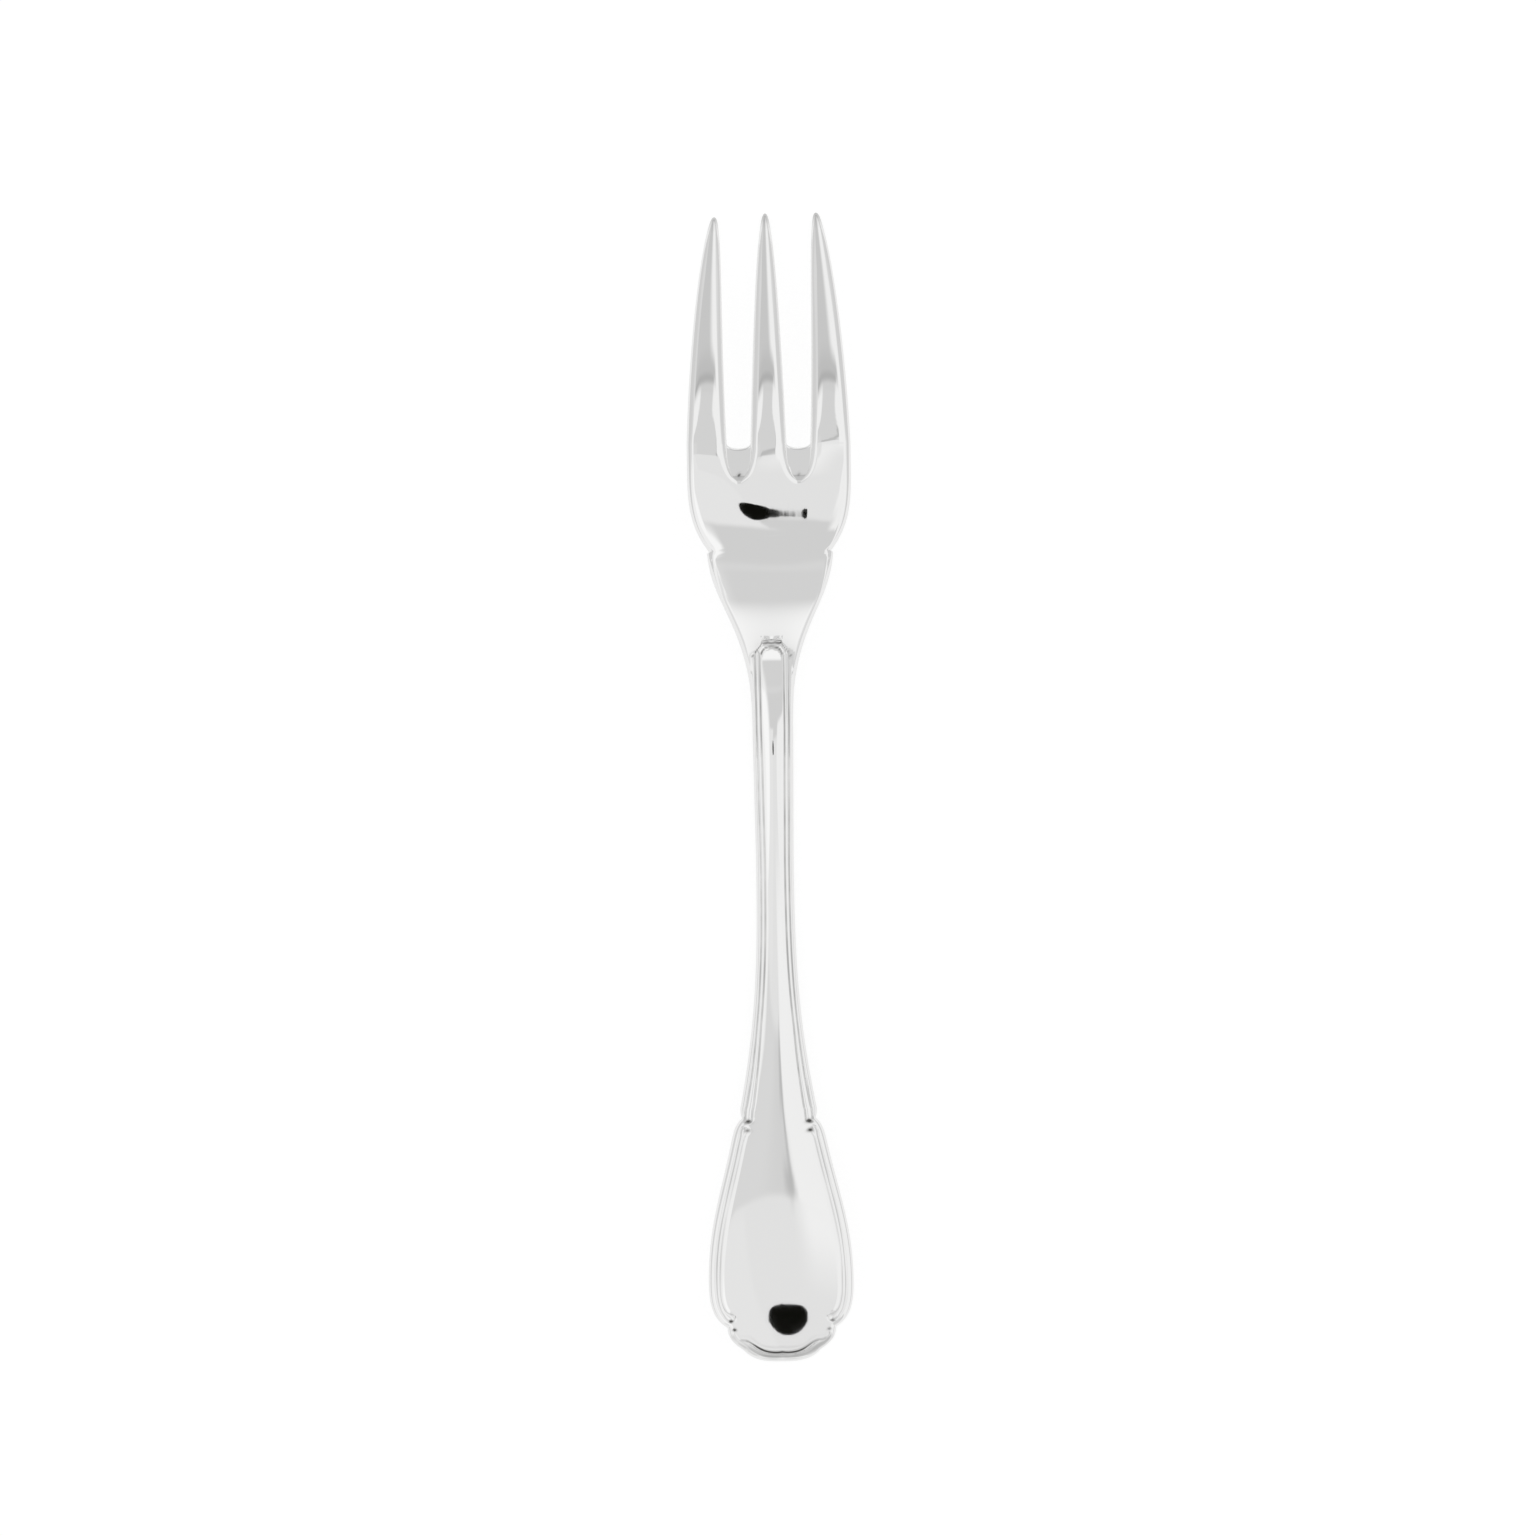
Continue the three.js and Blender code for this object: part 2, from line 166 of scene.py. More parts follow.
handleEdge = np.concatenate([
    [endPlace],
    sweep(endPlace, lobePlace, "endLobe", evenly(20)),
    sweep(lobePlace, cuspPlace, "sideLobe", evenly(18)),
    sweep(cuspPlace, widestPlace, "terminal", evenly(24)**1.5),  # closer ribs near the notch
    sweep(widestPlace, shoulderPlace, "side", evenly(26)),
    sweep(shoulderPlace, notchPlace, "shoulder", evenly(20)),
    sweep(notchPlace, flarePlace, "flare", evenly(10)),
    sweep(flarePlace, waistPlace, "stem", evenly(46)**1.6),
    np.linspace(waistPlace, stemTopPlace, 17)[1:],
    sweep(stemTopPlace, dropPlace, "dropPlate", 1 - (1 - evenly(36))**1.6),  # closer ribs near the drop
])
neckEdge = np.concatenate([sweep(dropPlace, neckPlace, "neck", evenly(30)), [notchFloor, headPlace]])
rootEdge = np.concatenate([
    sweep(headPlace, headWidest, "root", evenly(34)),
    np.linspace(headWidest, (plan["headHalf"], crotchY), 15)[1:],
])

# Columns of a rib from the edge to the spine: 19 lead to an outer tine, 9 to a slot, 10 to the centre tine
ribs = {
    "tineSteps": [0, 0.05, 0.18, 0.4, 0.65, 0.85, 1.0, 1.2, 1.9],
    "borderSteps": [0, 0.03, 0.1, 0.2, 0.32, 0.45, 0.6, 0.75, 0.88, 0.98, 1.06, 1.14, 1.22, 1.3, 1.39, 1.48,
                    1.57, 1.66, 1.74, 1.82, 1.9, 2.0, 2.15],
    "borderScale": [(-95, 1.1), (-90, 1.1), (-86, 1.0), (-60, 1.0), (-56, 1.15), (-52, 1.2), (-40, 0.83),
                    (24, 0.82)],
    "slotSteps": 10, "endFan": 0.6, "flangeTurn": 0.6, "leastRamp": 0.3, "spineSpread": 0.8, "slotBend": 6,
    "tineShares": [*np.linspace(0, 0.9, 37), 0.925, 0.95, 0.968, 0.982, 0.991, 0.996, 1.0],
}
# The ramp below each slot on the back, and the bevels along the tines
slot = {
    "rampLength": 5.5, "rampPower": 2.4, "rampLip": 0.12, "rampDepth": 0.65, "rampNarrow": 0.5,
    "rampMargin": 1.5, "steepest": 0.97, "backLip": 0.1, "frontRound": 0.7,
    "bevel": 1.0, "bevelMost": 0.55, "bevelDrop": 0.42, "bevelSoft": 0.16, "bevelSpan": (43, 55),
    "sideRound": 0.3, "facetCrown": 0.22, "facetRise": 6, "tipRound": 2.2,
}
tineSteps, borderSteps = np.array(ribs["tineSteps"]), np.array(ribs["borderSteps"])
borderScale = lineThrough(ribs["borderScale"])
slotTurns = np.linspace(0, math.pi, ribs["slotSteps"] + 1)[1:-1]
halfTine = len(tineSteps) + 1
outerColumns = slice(0, 2 * halfTine - 1)
slotColumns = slice(outerColumns.stop, outerColumns.stop + len(slotTurns))
centreColumns = slice(slotColumns.stop, slotColumns.stop + halfTine)
slotFloorX = slotX + slotHalf * np.cos(slotTurns)
slotFloorY = crotchY - plan["slotRound"] * np.sin(slotTurns)


def rampReach(y):  # half width of a ramp, from the slot down to its round end
    low = np.clip((plan["slotFloorY"] - y) / slot["rampLength"], 0, 1)
    return slotHalf * np.sqrt(1 - low**slot["rampPower"])


def rootColumns(y):  # columns close in below the slots, round the ends of the ramps
    reach = max(float(rampReach(y)), ribs["leastRamp"])
    inner, outer = slotX - reach, slotX + reach
    spread = 1 + ribs["spineSpread"] * (1 - reach / slotHalf)
    return np.concatenate([plan["headHalf"] - tineSteps, [(plan["headHalf"] + outer) / 2],
                           outer + tineSteps[::-1], slotX + reach * np.cos(slotTurns),
                           inner - spread * tineSteps, [0.0]])


def spineYAt(y):  # ribs of the end fan out from a short length of the spine
    fanY = plan["endY"] + ribs["endFan"] * (plan["widestY"] - plan["endY"])
    share = (y - plan["endY"]) / (plan["widestY"] - plan["endY"])
    return fanY + share * (plan["widestY"] - fanY) if y < plan["widestY"] else y


def handleShares(ex, ey, spineY):  # places along a rib: close over the border, even over the field
    reach = math.hypot(ex, ey - spineY)
    flange = max(ex - plan["stemTopHalf"], 0) if ey > plan["flangeY"] else 0
    border = borderSteps * float(borderScale(ey))
    border = np.where(border > 0, border + flange * np.minimum(border / ribs["flangeTurn"], 1), 0)
    field = np.linspace(border[-1], reach, centreColumns.stop - len(borderSteps) + 1)[1:]
    return np.concatenate([border, field]) / reach


ribX, ribY = [], []
for ex, ey in handleEdge:
    spineY = float(spineYAt(ey))
    shares = handleShares(ex, ey, spineY)
    ribX.append(ex * (1 - shares))
    ribY.append(ey + (spineY - ey) * shares)
dropShares = handleShares(handleEdge[-1][0], plan["dropY"], plan["dropY"])
headShares = 1 - rootColumns(plan["headY"]) / plan["headHalf"]
for ex, ey in neckEdge:
    up = (ey - plan["dropY"]) / (plan["headY"] - plan["dropY"])
    shares = dropShares + up * (headShares - dropShares)
    ribX.append(ex * (1 - shares))
    ribY.append(np.full(shares.shape, ey))
for ex, ey in rootEdge:
    columns = rootColumns(ey)
    ribX.append(ex * columns / plan["headHalf"])
    dip = np.zeros(columns.shape)
    dip[slotColumns] = plan["slotRound"] * np.sin(slotTurns)
    ribY.append(ey - dip * softStep(plan["slotFloorY"] - ribs["slotBend"], crotchY, ey))
ribX, ribY = np.array(ribX), np.array(ribY)
print("plan:", ribX.shape[0], "ribs of", 2 * ribX.shape[1] - 1, "places")


def tinePlan(rootHalf, rootX, tipX):  # rows of a tine from the slots to its tip
    bevel = slot["bevel"]
    xs, ys, gaps = [], [], []
    for share in ribs["tineShares"]:
        half = rootHalf * (1 - share)**plan["tineTaper"]
        width = min(bevel, slot["bevelMost"] * half)
        facet = width + (half - width) * (tineSteps - bevel) / (rootHalf - bevel)
        gap = np.where(tineSteps < bevel, tineSteps * width / bevel, facet)
        gap = np.concatenate([gap, [half], gap[::-1]])
        middleX = rootX + (tipX - rootX) * share**2
        xs.append(middleX + np.concatenate([half - gap[:halfTine], gap[halfTine:] - half]))
        ys.append(np.full(gap.shape, crotchY + share * (plan["tipY"] - crotchY)))
        gaps.append(gap)
    return np.array(xs), np.array(ys), np.array(gaps)


outerRootX = plan["headHalf"] - plan["outerTineHalf"]
outerX, outerY, outerGap = tinePlan(plan["outerTineHalf"], outerRootX, plan["tipSpacing"])
centreX, centreY, centreGap = tinePlan(plan["centreTineHalf"], 0.0, 0.0)
outline = np.concatenate([handleEdge, neckEdge, rootEdge, np.stack([outerX[1:, 0], outerY[1:, 0]], 1)])

# Threads that border the handle: distance from the edge and half width along it, and the beads at their ends.
# A groove is its depth and stain, a struck line its shift along the fork, depth, width and stain.
thread = {
    "stemTop": 21.0, "stemStart": (5.0, -55.3), "stemInset": 0.2,
    "stemOffset": [(-56, 1.25), (-53, 1.5), (-48, 1.4), (-40, 1.15), (23, 1.05)],
    "stemHalf": [(-56, 0.62), (-53.4, 0.58), (-48, 0.45), (-40, 0.34), (23, 0.36)],
    "terminalY": (-88.1, -57.1), "terminalInset": (0.1, 0.4), "terminalOffset": 1.58, "terminalHalf": 0.33,
    "bead": 0.52, "beadLength": (0.2, 1.2), "bulge": 0.08, "bulgeHalf": 0.35,
    "stemGroove": (0.15, 0.42), "terminalGroove": (0.11, 0.22), "grooveWidth": 0.13, "tarnishWidth": 0.12,
    "endLine": [(0, -93.15), (2.2, -93.1), (3.6, -92.6), (4.9, -91.75), (5.9, -91.3), (7.2, -91.0),
                (7.75, -90.2)],
    "endGroove": (-0.28, 0.15, 0.15, 1.3), "endLip": (0.5, 0.0, 0.15, 0.12), "endFade": (3.0, 6.0, 0.75),
    "rimLine": [(0, -93.95), (3.0, -93.85), (5.2, -92.9), (6.7, -92.0), (7.9, -90.9)],
    "rim": (0.0, 0.02, 0.42, 0.3), "reach": 2,
    # Dots of painted shade at the ends of the beads and at the corner of the raised handle: across, along and
    # size
    "shadeDots": [(5.0, -55.75, 0.32), (5.15, -57.25, 0.3), (8.3, -88.35, 0.2), (7.75, -89.75, 0.2),
             (3.3, 20.65, 0.2)],
    "dotWide": 1.6, "dotBow": 0.25, "dotShade": 1.3,
}
along = np.gradient(handleEdge, axis=0)
along /= np.linalg.norm(along, axis=1)[:, None]
inward = np.stack([-along[:, 1], along[:, 0]], 1)
stemOffset, stemHalf = lineThrough(thread["stemOffset"]), lineThrough(thread["stemHalf"])
onStem = (handleEdge[:, 1] > flareY - thread["stemInset"]) & (handleEdge[:, 1] < plan["flangeY"])
stemLine = handleEdge[onStem] + inward[onStem] * stemOffset(handleEdge[onStem][:, 1])[:, None]
stemTop = [[plan["stemTopHalf"] - stemOffset(y), y] for y in (plan["flangeY"], thread["stemTop"])]
stemLine = np.concatenate([[thread["stemStart"]], stemLine, stemTop])
stemWidths = stemHalf(stemLine[:, 1])
fromCusp, fromShoulder = thread["terminalInset"]
onTerminal = (handleEdge[:, 1] > cuspY + fromCusp) & (handleEdge[:, 1] < plan["shoulderY"] - fromShoulder)
terminalLine = handleEdge[onTerminal] + inward[onTerminal] * thread["terminalOffset"]
lowY, highY = thread["terminalY"]
terminalLine = terminalLine[(terminalLine[:, 1] > lowY) & (terminalLine[:, 1] < highY)]
fromEnds = np.minimum(terminalLine[:, 1] - lowY, highY - terminalLine[:, 1])
beaded = 1 - softStep(*thread["beadLength"], fromEnds)
terminalWidths = thread["terminalHalf"] + (thread["bead"] - thread["terminalHalf"]) * beaded
endLine, rimLine = smoothLine(thread["endLine"]), smoothLine(thread["rimLine"])

# Top of the raised handle on the neck: its outline, and the arch and bar struck in it
drop = {
    "sideTop": 20.3, "top": [(3.25, 20.9), (2.6, 21.7), (1.9, 22.5), (1.65, 23.2), (0, 23.35)],
    "arch": (1.7, 20.9, 1.25), "wave": [(0, 22.72), (0.6, 22.8), (1.1, 22.68), (1.55, 22.75)],
    "archGroove": (0.0, 0.13, 0.14, 1.2), "waveGroove": (0.0, 0.14, 0.15, 1.5),
    "rimGroove": (0.0, 0.04, 0.1, 1.2), "rimInset": 0.12,
    "capY": 19.95, "capSlope": 0.08, "capLength": 3, "capEdge": (1.15, 0.85),
}
raisedTop = np.array([stemTopPlace, (plan["stemTopHalf"], drop["sideTop"])] + drop["top"])
raisedOutline = np.concatenate([handleEdge[handleEdge[:, 1] < plan["flangeY"]], raisedTop])
archHalf, archY, archRise = drop["arch"]
archTurns = np.linspace(0, math.pi / 2, 9)
dropArch = np.stack([archHalf * np.cos(archTurns), archY + archRise * np.sin(archTurns)], 1)
dropWave = np.array(drop["wave"])
dropRim = np.array(drop["top"]) - drop["rimInset"]
borderThreads = [(stemLine, stemWidths, thread["stemGroove"]),
                 (terminalLine, terminalWidths, thread["terminalGroove"])]
struckLines = [(dropArch, drop["archGroove"]), (dropWave, drop["waveGroove"]), (dropRim, drop["rimGroove"]),
               (endLine, thread["endGroove"]), (endLine, thread["endLip"]), (rimLine, thread["rim"])]


def beside(y, line):  # points far from a line are left out of its sums
    return (y > line[:, 1].min() - thread["reach"]) & (y < line[:, 1].max() + thread["reach"])


def threadRelief(x, y):  # height of the struck lines, and a mask of the grooves that tarnish, with dots of painted shade by the beads
    relief, tarnishAndShade = np.zeros(x.shape), np.zeros(x.shape)
    for line, widths, (deep, dark) in borderThreads:
        near = beside(y, line)
        gap, wide = distanceTo(x[near], y[near], line, widths)
        edge = gap - wide
        bulge = thread["bulge"] * np.clip(1 - (gap / np.maximum(wide, 0.01))**2, 0, 1)
        bulge = bulge * np.maximum(wide / thread["bulgeHalf"], 1)
        relief[near] += bulge - deep * np.exp(-(edge / thread["grooveWidth"])**2)
        tarnishAndShade[near] = np.maximum(tarnishAndShade[near], dark * np.exp(-(edge / thread["tarnishWidth"])**2))
    for line, (shift, depth, width, dark) in struckLines:
        near = beside(y, line)
        gap, _ = distanceTo(x[near], y[near] - shift, line)
        struck = np.exp(-(gap / width)**2)
        if line is endLine:
            fadeFrom, fadeTo, fade = thread["endFade"]
            struck = struck * (1 - fade * softStep(fadeFrom, fadeTo, x[near]))
        relief[near] -= depth * struck
        tarnishAndShade[near] = np.maximum(tarnishAndShade[near], dark * struck)
    underArch = np.hypot(x / archHalf, np.maximum(y - archY, 0) / archRise)
    cap = np.clip(y - drop["capY"], 0, drop["capLength"]) * softStep(*drop["capEdge"], underArch)
    # dark dots of painted shade at the bead ends
    for dotX, dotY, dotSize in thread["shadeDots"]:
        dot = ((x - dotX) / thread["dotWide"])**2 + (y - dotY + thread["dotBow"] * (x - dotX)**2)**2
        tarnishAndShade = np.maximum(tarnishAndShade, thread["dotShade"] * np.exp(-dot / dotSize**2))
    return relief + drop["capSlope"] * cap, tarnishAndShade


# Side view: height of the middle plane over the table, half thickness on the spine and at the edges,
# width of the rounded edge, and the half width that the crown of the back spans.
section = {
    "profile": [(-95, 8.12), (-88, 8.205), (-81.6, 7.97), (-67.2, 6.8), (-54.7, 5.33), (-33.35, 3.28),
                (-12, 2.03), (0, 1.84), (3.3, 1.861), (6.6, 1.972), (9.5, 2.246), (13, 2.848), (17, 3.994),
                (24.3, 7.3), (31.65, 10.92), (39, 13.18), (46, 14.105), (53, 14.36), (60, 13.62), (75.6, 8.7),
                (95, 0.3)],
    "middle": [(-95, 0.85), (-81.6, 0.85), (-54.7, 1.15), (-12, 1.6), (23.4, 2.05), (37.5, 1.85),
               (54.3, 1.55), (75.6, 1.05), (95, 0.65)],
    "edge": [(-95, 0.47), (-81.6, 0.47), (-54.7, 0.58), (-12, 0.82), (8.4, 0.95), (23.4, 1.7), (32, 1.6),
             (37.5, 1.45), (44.5, 1.37), (54.3, 1.3), (75.6, 0.95), (95, 0.6)],
    "edgeRound": [(-95, 0.95), (-57, 0.95), (-54, 0.6), (5, 0.55), (30, 0.6), (36, 1.4), (44.5, 1.25),
                  (55, 1.05), (95, 1.0)],
    "crownHalf": [(-95, 11.9), (-85, 11.9), (-75, 11.6), (-65, 10.4), (-55, 7.7), (-45, 5.3), (-35, 4.2),
                  (-20, 3.4), (-5, 3.2), (8, 3.4), (16, 4.0), (22, 5.2), (30, 7.6), (38, 10.3), (46, 12.9),
                  (53, 13.5), (60, 13.5), (95, 13.5)],
    "crownFade": (46, 57), "raised": 0.3, "raisedStep": 0.3, "reliefInset": 0.4,
}
# The turned edge and the low crease where the neck meets the head
neck = {
    "flangeEdge": 0.3, "flangeRise": 0.6, "flangeStart": 0.2, "flangeWidth": 0.7, "flangeSpan": (29, 35),
    "notchSoft": 0.2, "creaseY": 39.3, "creaseBow": 0.018, "creaseHeight": 0.016, "creaseWidth": 0.4,
    "creaseFade": (0.6, 0.9),
}
profile = smoothCurve(section["profile"])
middleHalf = smoothCurve(section["middle"])
edgeHalf = smoothCurve(section["edge"])
crownHalf = smoothCurve(section["crownHalf"])
edgeRound = lineThrough(section["edgeRound"])


def bevelShape(gap, width):  # share of the full height at a distance from the edge of a tine
    bevel = 1 - slot["bevelDrop"] * (1 - np.clip(softMin(gap / width, 1.0, slot["bevelSoft"]), 0, 1))
    return bevel * roundOver(gap, np.minimum(slot["sideRound"], width))


def turnedEdge(y, gap):  # round on the handle, flanged at the neck, bevelled towards the tines
    handle = roundOver(gap, edgeRound(y))
    rise = neck["flangeRise"]
    flange = (rise * roundOver(gap, neck["flangeEdge"])
              + (1 - rise) * softStep(neck["flangeStart"], neck["flangeEdge"] + neck["flangeWidth"], gap))
    soft = neck["notchSoft"]
    onNeck = softSpan(*neck["flangeSpan"], plan["headY"] - soft, plan["headY"] + soft, y)
    turned = handle + onNeck * (flange - handle)
    return turned + softStep(*slot["bevelSpan"], y) * (bevelShape(gap, slot["bevel"]) - turned)


def bodySection(x, y):  # height over the middle plane, alike on back and front, from the handle to the slots
    across = np.clip(x / crownHalf(y), 0, 1)
    middle = middleHalf(y)
    plate = middle - (middle - edgeHalf(y)) * across**2 * (1 - softStep(*section["crownFade"], y))
    inside, _ = distanceTo(x, y, raisedOutline)
    capX = np.interp(y, raisedTop[:-1, 1], raisedTop[:-1, 0])
    outsideCap = (y > plan["flangeY"]) & ((x > capX) | (y > raisedTop[-1][1]))
    raised = np.where(outsideCap, 0, softStep(0, section["raisedStep"], inside))
    relief, tarnishAndShade = threadRelief(x, y)
    relief, tarnishAndShade = np.where(outsideCap, 0, relief), np.where(outsideCap, 0, tarnishAndShade)
    crease = (y - neck["creaseY"] + neck["creaseBow"] * x**2) / neck["creaseWidth"]
    relief = relief + neck["creaseHeight"] * np.exp(-crease**2) * (1 - softStep(*neck["creaseFade"], across))
    gap, _ = distanceTo(x, y, outline)
    height = (plate + section["raised"] * raised) * turnedEdge(y, gap)
    return height + relief * softStep(0, section["reliefInset"], gap), tarnishAndShade


def slotCut(x, y, back, front):  # the ramp below each slot on the back, and the round edge on the front
    length, power = slot["rampLength"], slot["rampPower"]
    v = y - plan["slotFloorY"]
    u = np.abs(x - slotX)
    low = np.clip(-v / length, 0, 1)
    bend = np.clip(low, 0, slot["steepest"])
    lean = slotHalf / length * power / 2 * bend**(power - 1) / np.sqrt(1 - bend**power)
    outside = (u - rampReach(y)) / np.sqrt(1 + lean**2)
    below = np.hypot(u, np.clip(-v - length, 0, None))
    outside = np.where(-v > length, below, outside)
    lip = slot["rampLip"]
    floor = lip + (back - lip) * (1 - (1 - low)**slot["rampDepth"])
    bevel = slot["bevel"] * (1 - slot["rampNarrow"] * low**2)
    cutBack = floor + (back - floor) * bevelShape(np.clip(outside, 0, None), bevel)
    slotRim = np.stack([np.concatenate([[slotX + slotHalf], slotFloorX, [slotX - slotHalf]]),
                        np.concatenate([[crotchY], slotFloorY, [crotchY]])], 1)
    rim, _ = distanceTo(x, y, slotRim)
    nearSlot = v > -length - slot["rampMargin"]
    cutBack = cutBack * np.where(outside < 0, np.clip(rim / slot["backLip"], 0, 1), 1)
    cutFront = front * roundOver(rim, slot["frontRound"])
    return np.where(nearSlot, cutBack, back), np.where(nearSlot, cutFront, front)


def tineSection(y, gap):  # height over the middle plane, alike on back and front
    half = np.max(gap, 1)[:, None]
    up = softStep(crotchY, crotchY + slot["facetRise"], y)
    facet = 1 - slot["facetCrown"] * up * (1 - gap / np.maximum(half, 1e-6))**2
    width = np.maximum(np.minimum(slot["bevel"], slot["bevelMost"] * half), 1e-6)
    return middleHalf(y) * facet * bevelShape(gap, width) * roundOver(plan["tipY"] - y, slot["tipRound"])


# The fork is a hair out of true, as its reflections show: slopes across it and a dish in millimetres,
# each over a span along the fork
outOfTrue = {
    "endTwist": 0.0071, "endSpan": (-78, -52), "headTwist": -0.0207, "headSpan": (32, 50, 50, 60),
    "dish": 0.2, "dishSpan": (36, 44, 46, 57), "bellySpan": (34, 42.5, 47, 54),
    "bellyTilt": [(-8, 0), (-4.85, -0.0016), (-0.7, -0.0072), (0.7, 0.0029), (2, 0.0118), (3, 0.0196),
                  (5.2, 0.0366), (5.75, 0.0443), (6.5, 0.0501), (7.4, 0.033), (8.6, -0.008), (10, -0.022),
                  (12, -0.018), (13.4, 0)],
}
acrossBelly = np.linspace(-plan["headHalf"], plan["headHalf"], 541)  # every 0.05 mm
bellyLift = np.cumsum(lineThrough(outOfTrue["bellyTilt"])(acrossBelly)) * (acrossBelly[1] - acrossBelly[0])


def middleHeight(x, y):
    turn = outOfTrue["endTwist"] * (1 - softStep(*outOfTrue["endSpan"], y))
    turn = turn + outOfTrue["headTwist"] * softSpan(*outOfTrue["headSpan"], y)
    dip = outOfTrue["dish"] * softSpan(*outOfTrue["dishSpan"], y)
    lift = softSpan(*outOfTrue["bellySpan"], y) * np.interp(x, acrossBelly, bellyLift)
    return profile(y) - dip * (x / plan["headHalf"])**2 + turn * x + lift


# Stains at the ends of the ramps, and darker tips
stains = {"pitDepth": 4.5, "pitSize": 0.28, "tipLength": 3, "tipDark": 0.45}
bodyHeight, bodyTarnishAndShade = bodySection(ribX, ribY)
bodyBack, bodyFront = slotCut(ribX, ribY, bodyHeight, bodyHeight)
pitGap = np.hypot(ribX - slotX, ribY - plan["slotFloorY"] + stains["pitDepth"])
bodyTarnishAndShade = np.maximum(bodyTarnishAndShade, np.exp(-(pitGap / stains["pitSize"])**2))
tipDarkening = stains["tipDark"] * softStep(plan["tipY"] - stains["tipLength"], plan["tipY"], outerY)
outerZ, centreZ = tineSection(outerY, outerGap), tineSection(centreY, centreGap)
for side in (bodyBack, bodyFront):
    side[:, 0] = 0
    side[-1, outerColumns] = outerZ[0]
    side[-1, slotColumns] = 0
    side[-1, centreColumns] = centreZ[0][:halfTine]
print("sections: back up to", round(float(bodyBack.max()), 2), "mm over the middle plane")


def pickOnly(*pieces):  # the first one is made active
    bpy.ops.object.select_all(action="DESELECT")
    for piece in pieces:
        piece.select_set(True)
    bpy.context.view_layer.objects.active = pieces[0]


def openMesh(piece):
    pickOnly(piece)
    bpy.ops.object.mode_set(mode="EDIT")
    bpy.ops.mesh.select_all(action="SELECT")


def wearAtTable(fill):  # what would lie below the table is worn away
    bpy.ops.mesh.select_all(action="SELECT")
    bpy.ops.mesh.bisect(plane_co=(0, 0, 0), plane_no=(0, 0, -1), use_fill=fill, clear_outer=True,
                        threshold=1e-7)
    bpy.ops.object.mode_set(mode="OBJECT")


def wholeRibs(half, sign=1):  # right half turned to left, spine, right half
    return np.concatenate([sign * half, half[:, -2::-1]], 1)


def addSheet(name, x, y, z, tarnishAndShade):  # one grid, its vertices set out along the ribs
    rows, columns = x.shape
    bpy.ops.object.select_all(action="DESELECT")
    bpy.ops.mesh.primitive_grid_add(x_subdivisions=columns - 1, y_subdivisions=rows - 1, size=2,
                                    location=(0, 0, 0))
    sheet = bpy.context.object
    sheet.name = name
    flat = np.empty(len(sheet.data.vertices) * 3)
    sheet.data.vertices.foreach_get("co", flat)
    flat = flat.reshape(-1, 3)
    column = np.rint((flat[:, 0] + 1) / 2 * (columns - 1)).astype(int)
    row = np.rint((flat[:, 1] + 1) / 2 * (rows - 1)).astype(int)
    place = np.stack([x[row, column], y[row, column], z[row, column]], 1) * mm
    sheet.data.vertices.foreach_set("co", place.ravel())
    sheet.data.update()
    # the mask of stains in the grooves and painted shade at the bead ends goes to the material
    mask = sheet.data.attributes.new("tarnishShadeMask", "FLOAT", "POINT")
    mask.data.foreach_set("value", tarnishAndShade[row, column])
    return sheet


def bothSides(name, x, y, back, front, tarnishAndShade):
    level = middleHeight(x, y)
    return [addSheet(name + "Back", x, y, level + back, tarnishAndShade),
            addSheet(name + "Front", x, y, level - front, tarnishAndShade)]


# Skin: sheets of the body and the tines, joined along their edges
plating = {"thickness": 0.033, "blankInset": 1.6, "merge": 0.004, "sliver": 0.001, "smoothAngle": 75}
leftY = crotchY + (outerY - crotchY) * (1 - plan["leftShorter"] / (plan["tipY"] - crotchY))
sheets = bothSides("body", wholeRibs(ribX, -1), wholeRibs(ribY), wholeRibs(bodyBack), wholeRibs(bodyFront),
                   wholeRibs(bodyTarnishAndShade))
sheets += bothSides("rightTine", outerX, outerY, outerZ, outerZ, tipDarkening)
sheets += bothSides("leftTine", -outerX, leftY, outerZ, outerZ, tipDarkening)
sheets += bothSides("centreTine", centreX, centreY, centreZ, centreZ, tipDarkening)
pickOnly(*sheets)
bpy.ops.object.join()
skin = bpy.context.object
skin.name = "silver_skin"
skin.data.name = "silver_skin"
openMesh(skin)
bpy.ops.mesh.remove_doubles(threshold=plating["merge"] * mm)
bpy.ops.mesh.dissolve_degenerate(threshold=plating["sliver"] * mm)
bpy.ops.mesh.select_all(action="SELECT")
bpy.ops.mesh.normals_make_consistent(inside=False)
bpy.ops.object.mode_set(mode="OBJECT")
bpy.ops.object.shade_smooth_by_angle(angle=math.radians(plating["smoothAngle"]))
print("skin:", len(skin.data.polygons), "faces")

# Blank under the plate: the same form, a little smaller, worn flat where it rests
pickOnly(skin)
bpy.ops.object.duplicate()
blank = bpy.context.object
blank.name = "steel_blank"
blank.data.name = "steel_blank"
openMesh(blank)
bpy.ops.transform.shrink_fatten(value=-plating["blankInset"] * plating["thickness"] * mm)
wearAtTable(fill=True)
openMesh(skin)
wearAtTable(fill=False)
wall = skin.modifiers.new("wall", "SOLIDIFY")
wall.thickness = plating["thickness"] * mm
wall.offset = -1
wall.use_rim = True
bpy.ops.object.modifier_apply(modifier="wall")
for piece in (skin, blank):
    piece.data.calc_loop_triangles()
    print(piece.name + ":", len(piece.data.loop_triangles), "triangles")

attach(skin, "root")
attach(blank, "root")
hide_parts("silver_plating")
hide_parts("steel_core")
